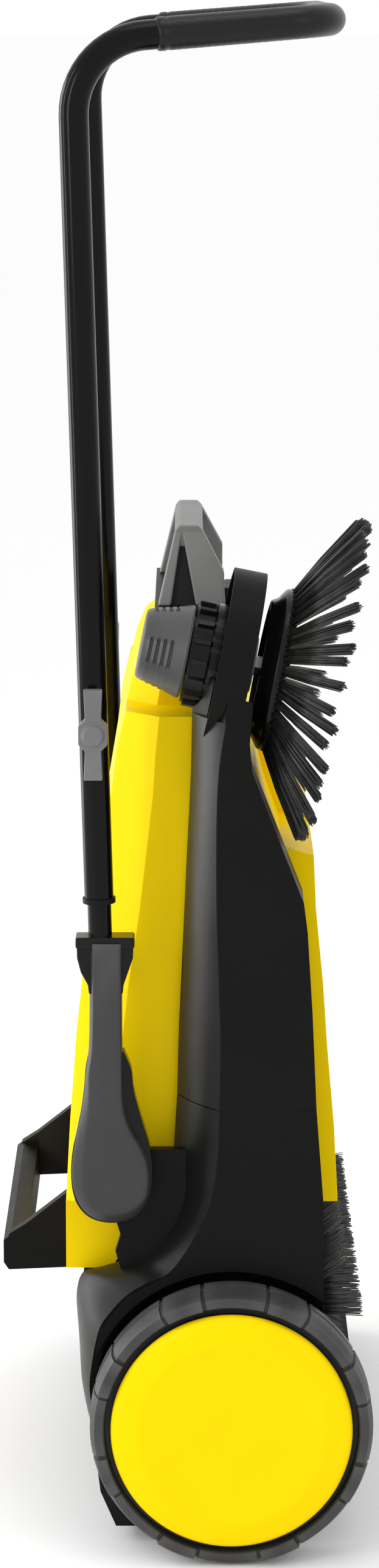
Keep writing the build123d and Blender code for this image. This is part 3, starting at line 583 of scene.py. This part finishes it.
# ---- main roller bristles -----------------------------------------------------------------------
low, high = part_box("roller_bristles")
roller_x, roller_z = (low.x + high.x) / 2, (low.z + high.z) / 2
reach = (high.z - low.z) / 2
core_low, core_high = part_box("roller_core")
core_r = (core_high.z - core_low.z) / 2
strands = []
ROWS, ALONG, ROLLER_STRANDS = 10, 38, 20      # rows round the core, tufts in a row, strands in a tuft
END_MARGIN = 0.006
for row in range(ROWS):
    for step in range(ALONG):
        y = low.y + END_MARGIN + (high.y - low.y - 2 * END_MARGIN) * step / (ALONG - 1)
        a = TAU * row / ROWS + math.radians(rng.uniform(-1.5, 1.5))
        for _ in range(ROLLER_STRANDS):
            lean, stray = rng.uniform(-1, 1), rng.uniform(-1, 1)
            root_a = a + lean * 0.06
            tip_a = a + lean * 0.066
            tip_r = reach - rng.uniform(0.0002, 0.005)
            root_r = core_r * 0.98
            start = Vector((roller_x + root_r * math.cos(root_a), y + stray * 0.0016,
                            roller_z + root_r * math.sin(root_a)))
            end = Vector((roller_x + tip_r * math.cos(tip_a), y + stray * 0.0052,
                          roller_z + tip_r * math.sin(tip_a)))
            strands.append(([start, end], 0.00058, 0.00046))
piece("roller_tufts", bristle_mesh("roller_tufts", strands), "main_roller", "bristle",
      ["roller_bristles"])

# ---- height knob --------------------------------------------------------------------------------
KNOB_STEPS = 96
KNOB_TURN = math.radians(22)
WINDOWS, WINDOW_HALF = 4, 0.21          # round the knob, and half a window's share of its quarter
GROOVES, GROOVE_PITCH, GROOVE_DEPTH = 4, 0.0052, 0.0028
CONE_LOW, CONE_HEIGHT = -0.1012, 0.0322
CONE_R, CONE_FLARE = 0.0270, 0.0082


def knob_section(a):
    """Profile (radius, height) of a truncated cone with windows that are crossed by grooves."""
    window = abs(((a / TAU * WINDOWS + 0.5) % 1) - 0.5) < WINDOW_HALF
    cut = GROOVE_DEPTH if window else 0.0
    profile = [(0.0, -0.103), (0.0215, -0.103), (0.0250, -0.1026), (0.0266, CONE_LOW)]
    for step in range(GROOVES):
        h = -0.0955 + step * GROOVE_PITCH
        surface = CONE_R + (h - CONE_LOW) / CONE_HEIGHT * CONE_FLARE
        profile += [(surface - 0.0002, h - 0.0016), (surface - cut, h - 0.0012),
                    (surface - cut + 0.0003, h + 0.0006), (surface + 0.0005, h + 0.0012)]
    profile += [(0.0356, -0.0700), (0.0360, -0.0690), (0.0352, -0.0672), (0.0340, -0.0670),
                (0.0160, -0.0670), (0.0160, -0.0605), (0.0093, -0.0605), (0.0093, -0.0990),
                (0.0, -0.0990)]
    return profile


sections = []
for step in range(KNOB_STEPS):
    a = TAU * (step + 0.5) / KNOB_STEPS + KNOB_TURN
    sections.append((a, knob_section(a)))
piece("height_knob_ribbed", ring_grid("height_knob_ribbed", on_axis, sections), "brush_height_dial",
      "grey_plastic", ["height_knob"], KNOB_GREY)

# ---- pivot arms: domed teardrops on a backing plate ----------------------------------------------
# outlines in X and Z from the pivot
pivot = Vector(JOINT["handle_fold"]["pos_m"])
ARM_LOOP = [
    (-0.0168, 0.168), (0.0076, 0.168), (0.0074, 0.100), (0.0078, 0.052), (0.0092, 0.036),
    (0.0145, 0.021), (0.0220, 0.010), (0.0278, -0.004), (0.0293, -0.017), (0.0276, -0.031),
    (0.0215, -0.0425), (0.0120, -0.0498), (-0.0004, -0.0522), (-0.0130, -0.0500),
    (-0.0230, -0.0430), (-0.0290, -0.031), (-0.0315, -0.017), (-0.0308, -0.002),
    (-0.0276, 0.016), (-0.0238, 0.034), (-0.0212, 0.052), (-0.0204, 0.068), (-0.0172, 0.084),
]
PLATE_LOOP = [
    (-0.0178, 0.082), (0.0088, 0.082), (0.0124, 0.074), (0.0152, 0.066), (0.0156, 0.054),
    (0.0196, 0.038), (0.0242, 0.022), (0.0290, 0.006), (0.0306, -0.010), (0.0300, -0.026),
    (0.0250, -0.0410), (0.0140, -0.0510), (-0.0004, -0.0535), (-0.0150, -0.0510),
    (-0.0250, -0.0430), (-0.0305, -0.031), (-0.0322, -0.015), (-0.0312, 0.002),
    (-0.0272, 0.020), (-0.0232, 0.040), (-0.0212, 0.058), (-0.0206, 0.070),
]
EARS = [(-0.0268, 0.1700), (-0.0264, 0.1560), (-0.0236, 0.1450), (-0.0182, 0.1350),
        (-0.0176, 0.1280), (0.0082, 0.1280), (0.0088, 0.1350), (0.0122, 0.1450),
        (0.0160, 0.1560), (0.0166, 0.1700)]
FLANGE = [(-0.0275, 0.1725), (-0.0275, 0.1640), (0.0172, 0.1640), (0.0172, 0.1725)]
ARM_MIDDLE = -0.0046      # X of the line that the dome's insets pull towards
NEAR_Z = 0.012            # the outline's width at a height is taken from points this near


def loop_rounded(points, sharp_first, rounds=2):
    """Corner cutting that leaves the first sharp_first points as they are."""
    for _ in range(rounds):
        cut = list(points[:sharp_first])
        rest = points[sharp_first - 1:] + [points[0]]
        for a, b in zip(rest, rest[1:]):
            cut.append((a[0] * 0.75 + b[0] * 0.25, a[1] * 0.75 + b[1] * 0.25))
            cut.append((a[0] * 0.25 + b[0] * 0.75, a[1] * 0.25 + b[1] * 0.75))
        points = cut
    return points


def half_width(loop, x, z):
    """Distance from the middle line to the outline, on the side that x is on."""
    near = [point[0] for point in loop if abs(point[1] - z) < NEAR_Z]
    return max(max(near) - ARM_MIDDLE if x > ARM_MIDDLE else ARM_MIDDLE - min(near), 1e-4)


def domed(loop, levels):
    """Verts and faces of a plate that rises from its rim, by (left inset, right inset, height)."""
    verts, faces = [], []
    count = len(loop)
    for left, right, rise in levels:
        for x, z in loop:
            # the narrow upper end takes less of the inset, and the round foot is lifted by it
            narrowing = max(0.3, min(1.0, 0.4 + (0.056 - z) * 12))
            inset = (right if x > ARM_MIDDLE else left) * narrowing
            pull = 1 - min(0.9, inset / max(half_width(loop, x, z), 0.004))
            lift = left * 0.9 * max(0.0, min(1.0, (-0.030 - z) / 0.022))
            verts.append((ARM_MIDDLE + (x - ARM_MIDDLE) * pull, rise, z + lift))
    for level in range(len(levels) - 1):
        for i in range(count):
            n = (i + 1) % count
            a, b = level * count, (level + 1) * count
            faces.append((a + i, a + n, b + n, b + i))
    faces.append(tuple(range(count)))
    faces.append(tuple(reversed(range((len(levels) - 1) * count, len(levels) * count))))
    return verts, faces


def slab(verts, faces, loop, y_from, y_to):
    """Adds an outline round the pivot as a prism between two values of Y."""
    prism(verts, faces, [(pivot.x + x, y_from, pivot.z + z) for x, z in loop],
          [(pivot.x + x, y_to, pivot.z + z) for x, z in loop])


for side, out in SIDES:
    low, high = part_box(f"{side}_pivot_arm")
    y_in, y_out = min(abs(low.y), abs(high.y)), max(abs(low.y), abs(high.y))
    depth = y_out - y_in
    verts, faces = [], []
    slab(verts, faces, loop_rounded(PLATE_LOOP, 2), out * y_in, out * (y_out - 0.0095))
    moulded(f"{side}_pivot_plate", verts, faces, "push_handle_lower", "grey_plastic", (), 0.0012,
            GLOSSY_BLACK)
    levels = [(0.0, 0.0, 0.001), (0.0, 0.0, depth - 0.0085), (0.0008, 0.0003, depth - 0.0074),
              (0.0030, 0.0007, depth - 0.0052), (0.0062, 0.0013, depth - 0.0026),
              (0.0078, 0.0022, depth - 0.0014), (0.0094, 0.0040, depth - 0.0006),
              (0.0130, 0.0080, depth)]
    verts, faces = domed(loop_rounded(ARM_LOOP, 2), levels)
    verts = [(pivot.x + x, out * (y_in + rise), pivot.z + z) for x, rise, z in verts]
    piece(f"{side}_pivot_teardrop",
          mesh_from(f"{side}_pivot_teardrop", verts, faces, sharp=50),
          "push_handle_lower", "grey_plastic", [f"{side}_pivot_arm"])
    verts, faces = [], []
    slab(verts, faces, EARS, out * (y_in + 0.001), out * (y_out - 0.0042))
    slab(verts, faces, FLANGE, out * (y_in + 0.0005), out * (y_out - 0.0020))
    moulded(f"{side}_tube_socket", verts, faces, "push_handle_lower", "black_plastic", (), 0.0016,
            GLOSSY_BLACK)

# ---- grip sleeve over the bent end of the handle -------------------------------------------------
TUBE_R = 0.0110
GRIP_R = 0.0125
GRIP_HALF = 0.196          # half width at the grip's far corners
GRIP_RISE = 0.015          # the far corners stand this much higher than the bend
GRIP_START = 0.063         # from the bend to the sleeve's end
CORNER_R = 0.040
GRIP_TAPER = 0.0007        # thinner by this much from TAPER_LENGTH inwards
TAPER_LENGTH = 0.25
RIPPLE = 0.00012           # every other ring is this much thinner
LIP_LENGTH = 0.0090
SLEEVE_FACES = 40
LEG_STEPS, ARC_STEPS, FRONT_STEPS = 36, 16, 52
low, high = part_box("handle_grip")
corner = Vector((high.x - GRIP_R, -GRIP_HALF, high.z - GRIP_R))
clamp_at = Vector(JOINT["right_clamp_turn"]["pos_m"])
tube_axis = Vector(JOINT["handle_height"]["axis"])
tube_low, tube_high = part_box("upper_tube")
bend = clamp_at + tube_axis * ((corner.z - GRIP_RISE - clamp_at.z) / tube_axis.z)
bend.y = -(tube_high.y - tube_low.y) / 2 + TUBE_R
sleeve_start = bend + (corner - bend).normalized() * GRIP_START
to_start = (sleeve_start - corner).normalized()
to_middle = Vector((0, 1, 0))
half_angle = to_start.angle(to_middle) / 2
tangent = CORNER_R / math.tan(half_angle)
arc_centre = corner + (to_start + to_middle).normalized() * (CORNER_R / math.sin(half_angle))
arc_from = (corner + to_start * tangent - arc_centre).normalized()
arc_to = (corner + to_middle * tangent - arc_centre).normalized()
leg_end = corner + to_start * tangent
flat_end = corner + to_middle * tangent
front_middle = Vector((corner.x, 0, corner.z))
# half of the route, then its mirror image
route = [sleeve_start.lerp(leg_end, step / LEG_STEPS) for step in range(LEG_STEPS)]
route += [arc_centre + arc_from.slerp(arc_to, step / ARC_STEPS) * CORNER_R
          for step in range(ARC_STEPS)]
route += [flat_end.lerp(front_middle, step / FRONT_STEPS) for step in range(FRONT_STEPS + 1)]
route += [Vector((p.x, -p.y, p.z)) for p in reversed(route[:-1])]
length_at = [0.0]
for before, here in zip(route, route[1:]):
    length_at.append(length_at[-1] + (here - before).length)
# (distance from the sleeve's end, radius) of the rounded lip
lip = [(0.0, TUBE_R), (0.0, GRIP_R - 0.0016), (0.0008, GRIP_R - 0.0004), (0.0022, GRIP_R),
       (0.0060, GRIP_R), (0.0072, GRIP_R - 0.0006)]
rings = []
for i, point in enumerate(route):
    ahead = (route[min(i + 1, len(route) - 1)] - route[max(i - 1, 0)]).normalized()
    edge = min(length_at[i], length_at[-1] - length_at[i])
    radius = GRIP_R - GRIP_TAPER * min(1.0, edge / TAPER_LENGTH)
    radius -= RIPPLE * (i % 2)
    if i == 0:
        rings += [(point + ahead * h, ahead, r) for h, r in lip]
    elif i == len(route) - 1:
        rings += [(point - ahead * h, ahead, r) for h, r in reversed(lip)]
    elif edge > LIP_LENGTH:
        rings.append((point, ahead, radius))
verts, faces = [], []
for point, ahead, radius in rings:
    u = ahead.cross(Vector((0, 0, 1))).normalized()
    v = u.cross(ahead)
    for k in range(SLEEVE_FACES):
        t = TAU * k / SLEEVE_FACES
        verts.append(tuple(point + (u * math.cos(t) + v * math.sin(t)) * radius))
for i in range(len(rings) - 1):
    a, b = i * SLEEVE_FACES, (i + 1) * SLEEVE_FACES
    for k in range(SLEEVE_FACES):
        n = (k + 1) % SLEEVE_FACES
        faces.append((a + k, a + n, b + n, b + k))
piece("grip_sleeve", mesh_from("grip_sleeve", verts, faces, sharp=45), "push_handle_upper",
      "grip_foam", ["handle_grip"])

# ---- stage, lights and camera -------------------------------------------------------------------
floor_mat = plastic("studio_floor", (0.96, 0.96, 0.96), (0.955, 0.955, 0.955), 0.7, grain=60,
                    depth=0.0002, wave=0.6, specular=0.1)
FLOOR_RINGS = (1.0, 2.0, 4.0, 8.0, 16.0, 40.0, 90.0)
FLOOR_FACES = 64
verts = [(0, 0, 0)]
for r in FLOOR_RINGS:
    verts += [(r * math.cos(TAU * k / FLOOR_FACES), r * math.sin(TAU * k / FLOOR_FACES), 0)
              for k in range(FLOOR_FACES)]
faces = [(0, 1 + k, 1 + (k + 1) % FLOOR_FACES) for k in range(FLOOR_FACES)]
for i in range(len(FLOOR_RINGS) - 1):
    a, b = 1 + i * FLOOR_FACES, 1 + (i + 1) * FLOOR_FACES
    for k in range(FLOOR_FACES):
        n = (k + 1) % FLOOR_FACES
        faces.append((a + k, b + k, b + n, a + n))
floor_mesh = bpy.data.meshes.new("studio_floor")
floor_mesh.from_pydata(verts, [], faces)
floor_mesh.materials.append(floor_mat)
floor = bpy.data.objects.new("studio_floor", floor_mesh)
scene.collection.objects.link(floor)

SKY_STRENGTH = 1.02
world = bpy.data.worlds.new("studio")
scene.world = world
world.use_nodes = True
world.node_tree.nodes["Background"].inputs["Color"].default_value = (1, 1, 1, 1)
world.node_tree.nodes["Background"].inputs["Strength"].default_value = SKY_STRENGTH


def softbox(name, at, aim, size, power):
    """A rectangular area light at a point, turned towards another."""
    data = bpy.data.lights.new(name, "AREA")
    data.shape = "RECTANGLE"
    data.size, data.size_y = size
    data.energy = power
    lamp = bpy.data.objects.new(name, data)
    scene.collection.objects.link(lamp)
    lamp.location = at
    lamp.rotation_mode = "QUATERNION"
    lamp.rotation_quaternion = (Vector(aim) - Vector(at)).to_track_quat("-Z", "Y")


softbox("left_back", (-2.0, 1.0, 0.9), (0, -0.2, 0.5), (0.9, 1.8), 24)
softbox("left_front", (-2.2, -2.4, 1.6), (0, 0, 0.6), (0.5, 1.8), 20)
softbox("left_strip", (-2.0, -0.3, 1.3), (-0.08, -0.25, 1.0), (0.12, 2.0), 10)
softbox("right_front", (2.4, -2.6, 2.0), (0, 0, 0.5), (1.4, 1.4), 6)
softbox("overhead", (0.3, -0.4, 3.0), (0, 0, 0.3), (1.2, 1.0), 6)

SENSOR, LENS = 36, 96.46             # millimetres
CAMERA_AT = (0.003, -3.33, 1.19)
CAMERA_DOWN = 10.84                  # degrees below the horizon
camera_data = bpy.data.cameras.new("camera")
camera = bpy.data.objects.new("camera", camera_data)
scene.collection.objects.link(camera)
camera_data.sensor_fit = "AUTO"
camera_data.sensor_width = SENSOR
camera_data.lens = LENS
camera.location = CAMERA_AT
camera.rotation_euler = (math.radians(90 - CAMERA_DOWN), 0, 0)
scene.camera = camera
scene.view_settings.view_transform = "Standard"
